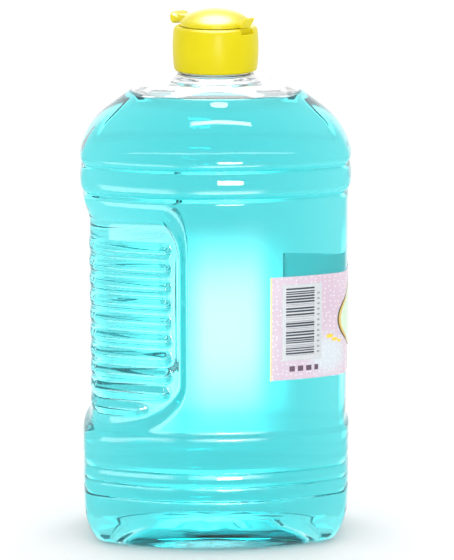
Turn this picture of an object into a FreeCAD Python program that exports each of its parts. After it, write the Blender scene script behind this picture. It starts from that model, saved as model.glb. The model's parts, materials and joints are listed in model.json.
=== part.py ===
import FreeCAD, Part
import math, os
from FreeCAD import Vector as V

os.makedirs("parts", exist_ok=True)

# ---------------------------------------------------------------- driving dimensions (mm)
# Frame: origin at the centre of the base, +Z up, +X towards the labelled end, -Y the broad face.
SCALE = 1.056          # every length below is multiplied by this when the solids are written: it sets the fill to 250 ml
HALF_W = 32.6          # half width over the ribbed bands
HALF_D = 20.8          # half depth over the ribbed bands
R_CORNER = 4.9         # vertical corners at the grip end
R_CREASE = 4.9         # crease where the broad faces meet the rounded label end
R_FACE = 68.5          # bow of the broad faces
R_GRIP_END = 90.0      # bow of the grip end
R_LABEL_END = 56.0     # bow of the label end
X_APEX = -0.5          # where the broad faces bulge most

WALL = 0.6             # wall of the blown bottle
BASE_T = 1.0           # thickness of the base
PANEL_IN = 0.75        # label and grip panels lie this far inside the bands
Z_PANEL0, Z_PANEL1 = 28.4, 86.2
Z_FLAT0, Z_FLAT1 = 29.6, 84.0   # plain prism between these
BANDS = ((7.6, 11.2, 1.2), (11.2, 22.4, 0.4), (22.4, Z_FLAT0, 0.6), (Z_FLAT0, Z_FLAT1, 54.4), (Z_FLAT1, 98.4, 0.4))   # from, to, section spacing
GROOVES = ((13.6, 0.45), (17.1, 0.5), (20.4, 0.65), (86.9, 0.55), (93.6, 0.95))   # height, depth
Z_SHOULDER = 98.0      # top of the upper band
Z_NECK = 114.0         # foot of the neck finish
R_NECK = 9.0           # neck ring under the closure
R_FINISH = 7.9         # finish wall that carries the thread
Z_FINISH = 123.2       # top of the finish
R_BORE = 6.3           # neck bore

GRIP_X = -7.0          # the grip recess ends here on both broad faces
GRIP_IN = 2.9          # depth of the recess floor below the bands
GRIP_Z0, GRIP_Z1 = 27.2, 85.8
LOW_RISE = 14.7        # height of the slanting lower corner
RIB_PITCH = 4.3
RIB_TOP = 73.9
RIB_RISE = 1.15
RIB_HALF = 1.3
RIB_ENDS = [-11.1] * 8 + [-11.7, -17.6, -22.8]   # where each rib ends on the broad faces

FILL_Z = 109.4         # level of the cologne

LABEL_X0, LABEL_X1 = 12.6, 14.2   # label edges on the front and the back face
LABEL_Z0, LABEL_Z1 = 43.0, 68.1
LABEL_T = 0.14
LABEL_GAP = 0.03

CAP_Z0, CAP_Z1 = 114.7, 125.2   # closure skirt foot and deck
CAP_BORE = 8.95
CAP_DECK = 1.4
SPOUT_R, SPOUT_HOLE = 2.6, 1.5
LID_Z0, LID_TOP = 125.35, 129.2
LID_R = 8.35
LID_T = 1.1
HINGE_DEG = -41.0      # azimuth of the lid hinge from +X
HINGE_R = 9.4

# ---------------------------------------------------------------- plan curve
def meet(c1, r1, c2, r2, sx):
    dx, dy = c2[0] - c1[0], c2[1] - c1[1]
    d = math.hypot(dx, dy)
    k = (r1 * r1 - r2 * r2 + d * d) / (2 * d)
    h = math.sqrt(max(r1 * r1 - k * k, 0.0))
    best = None
    for s in (1, -1):
        x = c1[0] + k * dx / d - s * h * dy / d
        y = c1[1] + k * dy / d + s * h * dx / d
        if y < 0 and x * sx > 0 and (best is None or abs(x) > abs(best[0])):
            best = (x, y)
    return best


def toward(c, p, r):
    d = math.hypot(p[0] - c[0], p[1] - c[1])
    return (c[0] + (p[0] - c[0]) / d * r, c[1] + (p[1] - c[1]) / d * r)


CL = (-HALF_W + R_GRIP_END, 0.0)
CF = (X_APEX, -HALF_D + R_FACE)
CR = (HALF_W - R_LABEL_END, 0.0)
CK = meet(CL, R_GRIP_END - R_CORNER, CF, R_FACE - R_CORNER, -1)
CQ = meet(CF, R_FACE - R_CREASE, CR, R_LABEL_END - R_CREASE, 1)
T1 = toward(CL, CK, R_GRIP_END)
T2 = toward(CF, CK, R_FACE)
T3 = toward(CF, CQ, R_FACE)
T4 = toward(CR, CQ, R_LABEL_END)
NPT = 5


def arc_pts(c, r, p0, p1, n=NPT):
    a0 = math.atan2(p0[1] - c[1], p0[0] - c[0])
    a1 = math.atan2(p1[1] - c[1], p1[0] - c[0])
    while a1 - a0 > math.pi:
        a1 -= 2 * math.pi
    while a1 - a0 < -math.pi:
        a1 += 2 * math.pi
    return [(c[0] + r * math.cos(a0 + (a1 - a0) * i / (n - 1.0)), c[1] + r * math.sin(a0 + (a1 - a0) * i / (n - 1.0))) for i in range(n)]


def plan(d=0.0):
    """Seven smooth segments of the plan, d inside the bands, counter-clockwise from the grip end."""
    half = [
        arc_pts(CK, R_CORNER - d, T1, T2),
        arc_pts(CF, R_FACE - d, T2, T3),
        arc_pts(CQ, R_CREASE - d, T3, T4),
    ]
    mirror = [[(x, -y) for x, y in reversed(s)] for s in reversed(half)]
    right = arc_pts(CR, R_LABEL_END - d, T4, (T4[0], -T4[1]), 7)
    left = arc_pts(CL, R_GRIP_END - d, (T1[0], -T1[1]), T1, NPT)
    return half + [right] + mirror + [left]


def wire(segs, z):
    edges = []
    for s in segs:
        n = len(s)
        c = Part.BSplineCurve()
        c.interpolate(Points=[V(x, y, z) for x, y in s], PeriodicFlag=False, Parameters=[i / (n - 1.0) for i in range(n)])
        edges.append(c.toShape())
    return Part.Wire(edges)


def scaled(segs, fx, fy):
    return [[(x * fx, y * fy) for x, y in s] for s in segs]


def rounded(segs, ax, by, w):
    """Plan scaled to half sizes ax, by and blended by w towards an ellipse of the same size."""
    out = []
    for s in segs:
        row = []
        for x, y in s:
            t = math.atan2(y / HALF_D, x / HALF_W)
            row.append(((1 - w) * x * ax / HALF_W + w * ax * math.cos(t), (1 - w) * y * by / HALF_D + w * by * math.sin(t)))
        out.append(row)
    return out


def smooth(t):
    t = max(0.0, min(1.0, t))
    return t * t * (3 - 2 * t)


def inset(z):
    """How far the outside lies inside the bands, between the foot and the shoulder."""
    d = PANEL_IN * smooth((z - 26.2) / 2.4) * (1 - smooth((z - Z_PANEL1) / 2.2))
    for zg, dg in GROOVES:
        d += dg * math.exp(-((z - zg) / 0.75) ** 2)
    d += 0.9 * smooth((z - 95.6) / 2.6)
    d += 0.18 * math.exp(-((z - 8.0) / 3.0) ** 2)
    return d


# ---------------------------------------------------------------- heel and shoulder profiles
HEEL = (                           # height, how far in at the ends, how far in at the faces
    (0.0, 4.9, 5.6), (0.3, 3.75, 4.7), (0.8, 3.0, 3.95), (1.6, 2.3, 3.05), (2.8, 1.65, 2.15), (4.2, 1.05, 1.35), (5.9, 0.5, 0.65),
)
SHOULDER = (                       # height, half width, half depth, roundness
    (98.4, 31.70, 19.90, 0.00),
    (100.0, 30.95, 19.35, 0.02),
    (101.6, 30.00, 18.65, 0.05),
    (103.2, 28.70, 17.80, 0.10),
    (104.8, 27.10, 16.85, 0.17),
    (106.4, 25.10, 15.80, 0.26),
    (108.0, 22.95, 14.75, 0.38),
    (109.6, 20.80, 13.75, 0.52),
    (111.0, 18.80, 12.80, 0.68),
    (112.1, 16.90, 11.95, 0.83),
    (112.9, 14.20, 11.05, 0.95),
    (113.4, 11.40, 10.20, 1.00),
)


def heights():
    """Section heights between heel and shoulder: evenly spaced in each band, close together over the grooves."""
    zs = []
    for z0, z1, step in BANDS:
        n = int(round((z1 - z0) / step))
        zs += [z0 + (z1 - z0) * i / n for i in range(n)]
    return zs


def outer_sections():
    rows = []
    for z, d, e in HEEL:
        rows.append((z, scaled(plan(0), (HALF_W - d) / HALF_W, (HALF_D - e) / HALF_D)))
    for z in heights():
        rows.append((z, plan(inset(z))))
    for z, ax, by, w in SHOULDER:
        rows.append((z, rounded(plan(0), ax, by, w)))
    rows.append((Z_NECK, rounded(plan(0), R_NECK + 0.35, R_NECK + 0.35, 1.0)))
    return rows


def inner_sections():
    rows = []
    for z, d, e in HEEL:
        t = WALL + 0.35 * (1 - z / 6.5)
        rows.append((BASE_T + z * 0.9, scaled(plan(0), (HALF_W - d - t) / HALF_W, (HALF_D - e - t) / HALF_D)))
    for z in heights():
        rows.append((z, plan(inset(z) + WALL)))
    for z, ax, by, w in SHOULDER:
        k = smooth((z - 104.0) / 9.0)
        rows.append((z - 0.62 * k, rounded(plan(0), ax - WALL * (1 - 0.35 * k), by - WALL, w)))
    rows.append((113.35, rounded(plan(0), 9.3, 8.9, 1.0)))
    rows.append((114.3, rounded(plan(0), 7.2, 7.2, 1.0)))
    rows.append((115.3, rounded(plan(0), R_BORE + 0.3, R_BORE + 0.3, 1.0)))
    return rows


def loft(rows):
    s = Part.makeLoft([wire(segs, z) for z, segs in rows], True, False)
    if s.Volume < 0:
        s.reverse()
    return s


def stack(rows):
    """Lofts the sections in bands that meet at full sections, and joins them."""
    cuts = [7.6, 11.2, 16.8, 22.4, Z_FLAT0, Z_FLAT1, 91.2, 97.2]
    zs = [z for z, _ in rows]
    at = [0] + [min(range(len(zs)), key=lambda i: abs(zs[i] - c)) for c in cuts] + [len(zs) - 1]
    bands = [loft(rows[a:b + 1]) for a, b in zip(at, at[1:])]
    return bands[0].fuse(bands[1:])


def cyl(r, z0, z1):
    return Part.makeCylinder(r, z1 - z0, V(0, 0, z0))


# ---------------------------------------------------------------- grip recess
def recess_outline(grow, y0, y1):
    """The recess seen from the broad side, run through the whole depth."""
    g = grow
    xr = GRIP_X + g
    zt = GRIP_Z1 + g
    zb = GRIP_Z0 - g
    low = Part.BSplineCurve()
    low.interpolate(Points=[V(xr - 18.0 + 18.0 * u, y0, zb + LOW_RISE - LOW_RISE * (1 - u ** 1.7) ** (1 / 1.7)) for u in (1.0, 0.985, 0.93, 0.82, 0.66, 0.46, 0.24, 0.0)], InitialTangent=V(0, 0, -14), FinalTangent=V(-18, 0, -0.3))
    top = Part.BSplineCurve()
    top.interpolate(Points=[V(xr - 7.0 + 7.0 * u, y0, zt - 13.6 + 13.6 * (1 - u ** 2.5) ** 0.4) for u in (0.0, 0.3, 0.56, 0.76, 0.9, 0.975, 1.0)], InitialTangent=V(14, 0, 0), FinalTangent=V(0, 0, -14))
    edges = [
        Part.makeLine(V(-45, y0, zt), V(xr - 7.0, y0, zt)),
        top.toShape(),
        Part.makeLine(V(xr, y0, zt - 13.6), V(xr, y0, zb + LOW_RISE)),
        low.toShape(),
        Part.makeLine(V(xr - 18.0, y0, zb), V(-45, y0, zb)),
        Part.makeLine(V(-45, y0, zb), V(-45, y0, zt)),
    ]
    f = Part.Face(Part.Wire(Part.__sortEdges__(edges)))
    return f.extrude(V(0, y1 - y0, 0))


def core(extra, z0, z1):
    """What is left inside the recess: its floor, with sloping shoulders above and below."""
    rows = []
    z = z0
    while z <= z1 + 1e-6:
        d = GRIP_IN * smooth((z - 26.4) / 6.0) * (1 - smooth((z - 78.9) / 7.2))
        rows.append((z, plan(min(d + extra, R_CREASE - 0.35))))
        z += 1.0 if (z < 34 or z > 75.9) else 5.25
    return loft(rows)


def ribs():
    out = []
    for i, xe in enumerate(RIB_ENDS):
        zc = RIB_TOP - i * RIB_PITCH
        rows = []
        for k in range(-4, 5):
            u = k / 4.0
            base = GRIP_IN * smooth((zc + u * RIB_HALF - 26.4) / 6.0)
            rows.append((zc + u * RIB_HALF, plan(base + 0.25 - (RIB_RISE + 0.25) * (1 - abs(u) ** 2.2))))
        band = loft(rows)
        bar = Part.makeBox(40 + xe - RIB_HALF, 80, 2 * RIB_HALF, V(-40, -40, zc - RIB_HALF))
        end = Part.makeCylinder(RIB_HALF, 80, V(xe - RIB_HALF, -40, zc), V(0, 1, 0))
        out.append(band.common(bar.fuse(end)))
    return out


# ---------------------------------------------------------------- base push-up
def push_up(rise, grow):
    rows = []
    for f, z in ((0.765, -0.4), (0.745, 0.0), (0.69, 1.0), (0.60, 2.1), (0.47, 3.1), (0.32, 3.8), (0.16, 4.15)):
        g = grow / HALF_W
        h = grow / HALF_D
        rows.append((z + (rise if z > 0 else rise * (1 + z)), scaled(plan(0), f + g, f * 0.84 + h)))
    return loft(rows)


# ---------------------------------------------------------------- bottle
def bottle_and_cologne():
    body = stack(outer_sections())
    recess = recess_outline(0.0, -40, 40).cut(core(0.0, 24.9, 87.9))
    body = body.cut(recess)
    for r in ribs():
        body = body.fuse(r)
    body = body.cut(push_up(0.0, 0.0))
    finish = cyl(R_FINISH, Z_NECK, Z_FINISH)
    finish = finish.makeFillet(0.5, [e for e in finish.Edges if abs(e.BoundBox.ZMin - Z_FINISH) < 1e-6 and abs(e.BoundBox.ZMax - Z_FINISH) < 1e-6])
    body = body.fuse([finish, cyl(R_NECK, Z_NECK - 0.6, Z_NECK + 0.35)])

    cavity = stack(inner_sections())
    recess_in = recess_outline(WALL, -40, 40).cut(core(WALL, 24.9, 87.9))
    cavity = cavity.cut(recess_in)
    cavity = cavity.cut(push_up(BASE_T, 0.9))
    bore = cyl(R_BORE, 114.6, Z_FINISH + 1)
    hollow = cavity.fuse(bore)
    shell = body.cut(hollow)
    below = Part.makeBox(100, 100, FILL_Z + 10, V(-50, -50, -10))
    cologne = cavity.common(below)
    return shell, cologne, body, cavity


def label_wrap():
    z0, z1 = LABEL_Z0, LABEL_Z1
    d_in = PANEL_IN - LABEL_GAP
    d_out = d_in - LABEL_T
    a = loft([(z0, plan(d_out)), (z1, plan(d_out))])
    b = loft([(z0 - 1, plan(d_in)), (z1 + 1, plan(d_in))])
    keep = Part.makeBox(60, 50, 100, V(LABEL_X0, -50, 0)).fuse(Part.makeBox(60, 50, 100, V(LABEL_X1, 0, 0)))
    return a.cut(b).common(keep)


# ---------------------------------------------------------------- closure
def revolve(profile):
    w = Part.makePolygon([V(r, 0, z) for r, z in profile] + [V(profile[0][0], 0, profile[0][1])])
    return Part.Face(w).revolve(V(0, 0, 0), V(0, 0, 1), 360)


def spin(shape):
    return shape.rotated(V(0, 0, 0), V(0, 0, 1), HINGE_DEG) if hasattr(shape, "rotated") else shape


def cap_body():
    outer = Part.BSplineCurve()
    outer.interpolate(Points=[V(9.9, 0, CAP_Z0 + 0.35), V(10.12, 0, 117.0), V(10.25, 0, 119.4), V(10.2, 0, 122.0), V(10.05, 0, CAP_Z1 - 1.25)])
    crown = Part.Arc(V(10.05, 0, CAP_Z1 - 1.25), V(9.72, 0, CAP_Z1 - 0.36), V(8.9, 0, CAP_Z1)).toShape()
    edges = [
        Part.makeLine(V(CAP_BORE, 0, CAP_Z0), V(9.6, 0, CAP_Z0)),
        Part.makeLine(V(9.6, 0, CAP_Z0), V(9.9, 0, CAP_Z0 + 0.35)),
        outer.toShape(),
        crown,
        Part.makeLine(V(8.9, 0, CAP_Z1), V(SPOUT_R + 0.3, 0, CAP_Z1)),
        Part.makeLine(V(SPOUT_R + 0.3, 0, CAP_Z1), V(SPOUT_R, 0, CAP_Z1 + 0.3)),
        Part.makeLine(V(SPOUT_R, 0, CAP_Z1 + 0.3), V(SPOUT_R - 0.25, 0, CAP_Z1 + 1.7)),
        Part.makeLine(V(SPOUT_R - 0.25, 0, CAP_Z1 + 1.7), V(SPOUT_HOLE, 0, CAP_Z1 + 1.7)),
        Part.makeLine(V(SPOUT_HOLE, 0, CAP_Z1 + 1.7), V(SPOUT_HOLE, 0, CAP_Z1 - CAP_DECK)),
        Part.makeLine(V(SPOUT_HOLE, 0, CAP_Z1 - CAP_DECK), V(CAP_BORE, 0, CAP_Z1 - CAP_DECK)),
        Part.makeLine(V(CAP_BORE, 0, CAP_Z1 - CAP_DECK), V(CAP_BORE, 0, CAP_Z0)),
    ]
    s = Part.Face(Part.Wire(Part.__sortEdges__(edges))).revolve(V(0, 0, 0), V(0, 0, 1), 360)
    # pocket under the hinge, open to the outside
    pocket = Part.makeBox(3.0, 4.4, 3.0, V(8.6, -2.2, CAP_Z1 - 1.3))
    pocket = pocket.makeFillet(0.5, [e for e in pocket.Edges if abs(e.BoundBox.XMin - 8.6) < 1e-6 and abs(e.BoundBox.XMax - 8.6) < 1e-6 and e.BoundBox.ZMax - e.BoundBox.ZMin > 1])
    # thumb notch opposite the hinge
    notch = Part.makeCylinder(2.6, 3.0, V(-12.0, 0, CAP_Z1 - 0.9))
    s = s.cut(pocket.rotated(V(0, 0, 0), V(0, 0, 1), HINGE_DEG)).cut(notch.rotated(V(0, 0, 0), V(0, 0, 1), HINGE_DEG))
    return s


def flip_lid():
    z0 = LID_Z0
    rim = 0.9
    outer_top = Part.Arc(V(0, 0, LID_TOP), V(5.2, 0, LID_TOP - 0.86), V(LID_R - 0.25, 0, z0 + rim + 0.35)).toShape()
    inner_top = Part.Arc(V(1.3, 0, LID_TOP - LID_T - 0.1), V(4.6, 0, LID_TOP - LID_T - 0.78), V(LID_R - LID_T - 0.3, 0, z0 + 0.9)).toShape()
    edges = [
        outer_top,
        Part.makeLine(V(LID_R - 0.25, 0, z0 + rim + 0.35), V(LID_R, 0, z0 + rim)),
        Part.makeLine(V(LID_R, 0, z0 + rim), V(LID_R, 0, z0)),
        Part.makeLine(V(LID_R, 0, z0), V(LID_R - LID_T - 0.3, 0, z0)),
        Part.makeLine(V(LID_R - LID_T - 0.3, 0, z0), V(LID_R - LID_T - 0.3, 0, z0 + 0.9)),
        inner_top,
        Part.makeLine(V(1.3, 0, LID_TOP - LID_T - 0.1), V(1.25, 0, CAP_Z1 + 0.1)),
        Part.makeLine(V(1.25, 0, CAP_Z1 + 0.1), V(0.95, 0, CAP_Z1 - 0.3)),
        Part.makeLine(V(0.95, 0, CAP_Z1 - 0.3), V(0, 0, CAP_Z1 - 0.3)),
        Part.makeLine(V(0, 0, CAP_Z1 - 0.3), V(0, 0, LID_TOP)),
    ]
    s = Part.Face(Part.Wire(Part.__sortEdges__(edges))).revolve(V(0, 0, 0), V(0, 0, 1), 360)
    # thumb tab, a rounded tongue that overhangs the skirt
    tab = Part.makeBox(4.4, 4.6, 1.5, V(-11.3, -2.3, z0 + 0.35))
    tab = tab.makeFillet(1.7, [e for e in tab.Edges if abs(e.BoundBox.XMax + 11.3) < 1e-6 and e.BoundBox.ZMax - e.BoundBox.ZMin > 1])
    # hinge tongue and the raised spring leaf behind it
    tongue = Part.makeBox(2.2, 3.4, 0.9, V(7.3, -1.7, z0 + 0.1))
    leaf_w = Part.makePolygon([V(9.05, -1.5, z0 + 0.25), V(9.55, -1.5, z0 + 0.25), V(10.75, -1.5, z0 + 2.2), V(10.3, -1.5, z0 + 2.45), V(9.05, -1.5, z0 + 0.25)])
    leaf = Part.Face(leaf_w).extrude(V(0, 3.0, 0))
    add = tab.fuse(tongue).fuse(leaf).rotated(V(0, 0, 0), V(0, 0, 1), HINGE_DEG)
    hollow = Part.makeCylinder(LID_R - LID_T - 0.3, 2.0, V(0, 0, z0 - 0.5))
    s = s.fuse(add.cut(hollow))
    return s


def single(s, name):
    s = s.removeSplitter() if name in ("cap_body", "flip_lid") else s
    sol = s.Solids
    if len(sol) > 1:
        sol = sorted(sol, key=lambda q: -abs(q.Volume))
        print(name, "solids", len(sol), [round(q.Volume, 3) for q in sol[:5]])
    out = sol[0]
    print(name, "valid", out.isValid(), "volume", round(out.Volume, 1), "faces", len(out.Faces), "box", [round(v, 2) for v in (out.BoundBox.XMin, out.BoundBox.XMax, out.BoundBox.YMin, out.BoundBox.YMax, out.BoundBox.ZMin, out.BoundBox.ZMax)])
    return out


shell, cologne, full, cavity = bottle_and_cologne()
nodes = {
    "bottle": shell,
    "cologne": cologne,
    "label": label_wrap(),
    "closure": cap_body(),
    "flip_lid": flip_lid(),
}
for name, shape in nodes.items():
    single(shape.scaled(SCALE), name).exportStep("parts/%s.step" % name)
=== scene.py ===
import bpy, bmesh, json, math
import numpy as np
from mathutils import Vector, Matrix


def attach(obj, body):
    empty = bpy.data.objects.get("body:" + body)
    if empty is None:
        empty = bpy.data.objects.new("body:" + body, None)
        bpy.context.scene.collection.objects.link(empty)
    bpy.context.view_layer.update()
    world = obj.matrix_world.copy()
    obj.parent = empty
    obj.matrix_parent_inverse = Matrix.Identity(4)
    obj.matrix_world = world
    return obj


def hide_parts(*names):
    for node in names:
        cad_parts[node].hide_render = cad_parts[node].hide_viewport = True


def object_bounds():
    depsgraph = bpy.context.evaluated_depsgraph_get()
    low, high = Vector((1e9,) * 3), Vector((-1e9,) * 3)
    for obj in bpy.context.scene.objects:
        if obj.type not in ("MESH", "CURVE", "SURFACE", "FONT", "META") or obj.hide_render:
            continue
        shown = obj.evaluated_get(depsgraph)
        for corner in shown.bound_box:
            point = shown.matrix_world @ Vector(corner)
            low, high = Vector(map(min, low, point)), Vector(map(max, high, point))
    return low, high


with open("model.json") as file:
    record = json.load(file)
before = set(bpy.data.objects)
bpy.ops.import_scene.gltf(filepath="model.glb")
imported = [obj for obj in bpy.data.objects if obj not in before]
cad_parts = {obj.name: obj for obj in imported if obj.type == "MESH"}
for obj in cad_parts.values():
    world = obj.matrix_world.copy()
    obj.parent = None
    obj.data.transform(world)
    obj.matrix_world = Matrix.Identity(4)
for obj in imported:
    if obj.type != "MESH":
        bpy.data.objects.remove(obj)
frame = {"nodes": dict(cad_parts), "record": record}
CAD_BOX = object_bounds()
MM = 0.001 * 1.056       # the measures below are drawn at 1 : 1.056
rec = frame["record"]

# ------------------------------------------------------------------ the bottle's own measures, mm
HALF_W, HALF_D = 32.6, 20.8
R_CORNER, R_CREASE, R_FACE, R_GRIP_END, R_LABEL_END, X_APEX = 4.9, 4.9, 68.5, 90.0, 56.0, -0.5
WALL, BASE_T, PANEL_IN = 0.6, 1.0, 0.75
Z_PANEL1 = 86.2
# height, depth, width above, width below, slope of the flat just below the line
GROOVES = ((13.6, 0.62, 1.9, 1.8, 1.31), (17.1, 0.66, 1.7, 1.7, 1.31), (20.4, 0.80, 2.4, 2.2, 1.31), (86.9, 0.80, 3.1, 1.0, 1.17), (93.6, 1.05, 2.2, 3.2, 1.17))
GRIP_X, GRIP_IN, GRIP_Z0, GRIP_Z1, LOW_RISE = -7.0, 2.9, 27.2, 85.8, 14.7
RIB_PITCH, RIB_TOP, RIB_RISE, RIB_HALF = 4.3, 73.9, 1.25, 1.65
RIB_ENDS = [-11.1] * 8 + [-11.7, -17.6, -22.8]
FILL_Z = 109.4
HEEL = ((0.0, 4.9, 5.6), (0.3, 3.75, 4.7), (0.8, 3.0, 3.95), (1.6, 2.3, 3.05), (2.8, 1.65, 2.15), (4.2, 1.05, 1.35), (5.9, 0.5, 0.65))
SHOULDER = ((98.4, 31.70, 19.90, 0.00), (100.0, 30.95, 19.18, 0.02), (101.6, 30.00, 18.42, 0.05), (103.2, 28.70, 17.62, 0.10),
            (104.8, 27.10, 16.74, 0.17), (106.4, 25.10, 15.72, 0.26), (108.0, 22.95, 14.72, 0.38), (109.6, 20.80, 13.75, 0.52),
            (110.9, 18.80, 12.85, 0.68), (111.7, 16.80, 12.20, 0.83), (112.1, 14.60, 11.75, 0.93), (112.35, 12.60, 11.45, 0.98),
            (112.7, 11.45, 11.20, 1.00), (113.15, 11.10, 11.05, 1.00), (113.55, 10.85, 10.85, 1.00), (113.8, 10.25, 10.25, 1.00),
            (114.0, 9.55, 9.55, 1.00))
LABEL_X0, LABEL_X1, LABEL_Z0, LABEL_Z1 = 12.6, 14.2, 43.0, 68.1


def meet(c1, r1, c2, r2, sx):
    dx, dy = c2[0] - c1[0], c2[1] - c1[1]
    d = math.hypot(dx, dy)
    k = (r1 * r1 - r2 * r2 + d * d) / (2 * d)
    h = math.sqrt(max(r1 * r1 - k * k, 0.0))
    best = None
    for s in (1, -1):
        x = c1[0] + k * dx / d - s * h * dy / d
        y = c1[1] + k * dy / d + s * h * dx / d
        if y < 0 and x * sx > 0 and (best is None or abs(x) > abs(best[0])):
            best = (x, y)
    return best


def toward(c, p, r):
    d = math.hypot(p[0] - c[0], p[1] - c[1])
    return (c[0] + (p[0] - c[0]) / d * r, c[1] + (p[1] - c[1]) / d * r)


CL, CF, CR = (-HALF_W + R_GRIP_END, 0.0), (X_APEX, -HALF_D + R_FACE), (HALF_W - R_LABEL_END, 0.0)
CK = meet(CL, R_GRIP_END - R_CORNER, CF, R_FACE - R_CORNER, -1)
CQ = meet(CF, R_FACE - R_CREASE, CR, R_LABEL_END - R_CREASE, 1)
T1, T2, T3, T4 = toward(CL, CK, R_GRIP_END), toward(CF, CK, R_FACE), toward(CF, CQ, R_FACE), toward(CR, CQ, R_LABEL_END)


def arc_dirs(c, p0, p1, ts):
    a0 = math.atan2(p0[1] - c[1], p0[0] - c[0])
    a1 = math.atan2(p1[1] - c[1], p1[0] - c[0])
    while a1 - a0 > math.pi:
        a1 -= 2 * math.pi
    while a1 - a0 < -math.pi:
        a1 += 2 * math.pi
    a = a0 + (a1 - a0) * ts
    return np.stack([np.cos(a), np.sin(a)], 1)


def plan_samples(k=1.0):
    """Points round the plan with their outward normals. k < 1 is coarser. No point is repeated."""
    n = lambda v: max(3, int(round(v * k)))
    cuts = ((T2[0], -13.2, 14), (-13.2, -9.3, 11), (-9.3, -6.7, 20), (-6.7, T3[0], 24))
    xs = np.concatenate([np.linspace(p, q, n(m), endpoint=False) for p, q, m in cuts])
    a_of = lambda x: math.asin((x - CF[0]) / R_FACE)
    fa = np.array([a_of(x) for x in xs])
    t_face = (fa - a_of(T2[0])) / (a_of(T3[0]) - a_of(T2[0]))
    segs = []
    def lin(m):
        return np.linspace(0, 1, m, endpoint=False)
    segs.append((CK, R_CORNER, arc_dirs(CK, T1, T2, lin(n(8)))))
    segs.append((CF, R_FACE, arc_dirs(CF, T2, T3, t_face)))
    segs.append((CQ, R_CREASE, arc_dirs(CQ, T3, T4, lin(n(6)))))
    segs.append((CR, R_LABEL_END, arc_dirs(CR, T4, (T4[0], -T4[1]), lin(n(26)))))
    m = lambda p: (p[0], -p[1])
    segs.append((m(CQ), R_CREASE, arc_dirs(m(CQ), m(T4), m(T3), lin(n(6)))))
    xb = np.concatenate([np.linspace(q, p, n(m), endpoint=False) for p, q, m in reversed(cuts)])
    fb = np.array([a_of(x) for x in xb])
    t_back = (fb - a_of(T3[0])) / (a_of(T2[0]) - a_of(T3[0]))
    segs.append((m(CF), R_FACE, arc_dirs(m(CF), m(T3), m(T2), t_back)))
    segs.append((m(CK), R_CORNER, arc_dirs(m(CK), m(T2), m(T1), lin(n(8)))))
    segs.append((CL, R_GRIP_END, arc_dirs(CL, m(T1), T1, lin(n(24)))))
    pts = np.concatenate([np.array(c) + r * d for c, r, d in segs])
    nrm = np.concatenate([d for c, r, d in segs])
    return pts, nrm


def smooth(t):
    t = np.clip(t, 0.0, 1.0)
    return t * t * (3 - 2 * t)


def flat_of(zg):
    """Height of the flat just below a groove's line."""
    return 0.5 if zg > 60 else 0.38


def inset(z, soft=1.0):
    """Depth below the bands' plan. soft < 1: the shallower grooves of the wall's inner side."""
    d = PANEL_IN * smooth((z - 28.7) / 1.9) * (1 - smooth((z - Z_PANEL1) / 2.2))
    for zg, dg, wu, wl, c in GROOVES:
        dg = dg * soft
        c = c if soft == 1.0 else 0.3
        up = np.clip((z - zg) / wu, 0.0, 1.0)
        s = zg - z
        fl = flat_of(zg)
        low = np.where(s < fl, dg - c * s, (dg - fl * c) * np.clip(1 - (s - fl) / (wl - fl), 0.0, 1.0) ** 1.8)
        d = d + np.where(z >= zg, dg * (1 - up) ** 2.1, low * (s < wl))
    d = d + 0.9 * np.clip((z - 94.6) / 3.8, 0.0, 1.0) ** 1.85
    d = d + 0.18 * np.exp(-((z - 8.0) / 3.0) ** 2)
    return d


def inset_round(z, soft=1.0):
    """The same bands with rounder grooves, as they run on the far face."""
    d = PANEL_IN * smooth((z - 24.4) / 5.0) * (1 - smooth((z - Z_PANEL1 + 1.0) / 4.0))
    for zg, dg, wu, wl, c in GROOVES:
        d = d + 0.62 * dg * soft * np.exp(-((z - zg) / 1.75) ** 2)
    d = d + 0.18 * np.exp(-((z - 8.0) / 3.0) ** 2)
    return d + 0.9 * np.clip((z - 94.6) / 3.8, 0.0, 1.0) ** 1.8


# the recess floor, a rounder plan within the bands: inset at the faces and at the end, corner radius
FLOOR_FACE, FLOOR_END, FLOOR_CORNER = 2.9, 2.25, 7.0
FK = meet(CL, R_GRIP_END - FLOOR_END - FLOOR_CORNER, CF, R_FACE - FLOOR_FACE - FLOOR_CORNER, -1)


def floor_depth(P, Nn):
    """Distance from each plan point, inwards along its normal, to the recess floor's plan."""
    Q = P * np.array([1.0, -1.0]) ** (P[:, 1:2] > 0)
    M = Nn * np.array([1.0, -1.0]) ** (P[:, 1:2] > 0)
    def outside(t):
        q = Q - M * t[:, None]
        r = lambda c: np.hypot(q[:, 0] - c[0], q[:, 1] - c[1])
        flat = np.maximum(r(CF) - (R_FACE - FLOOR_FACE), r(CL) - (R_GRIP_END - FLOOR_END))
        def beyond(c):
            # on the corner's side of the line from c's far centre through the corner's centre
            return (q[:, 0] - FK[0]) * (FK[1] - c[1]) - (q[:, 1] - FK[1]) * (FK[0] - c[0])
        in_corner = (beyond(CF) > 0) & (beyond(CL) < 0)
        return np.where(in_corner, r(FK) - FLOOR_CORNER, flat)
    lo, hi = np.zeros(len(P)), np.full(len(P), 4.75)
    for _ in range(28):
        mid = (lo + hi) / 2
        o = outside(mid) > 0
        lo, hi = np.where(o, mid, lo), np.where(o, hi, mid)
    return np.where(P[:, 0] < GRIP_X + 8, hi, FLOOR_FACE)


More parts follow.
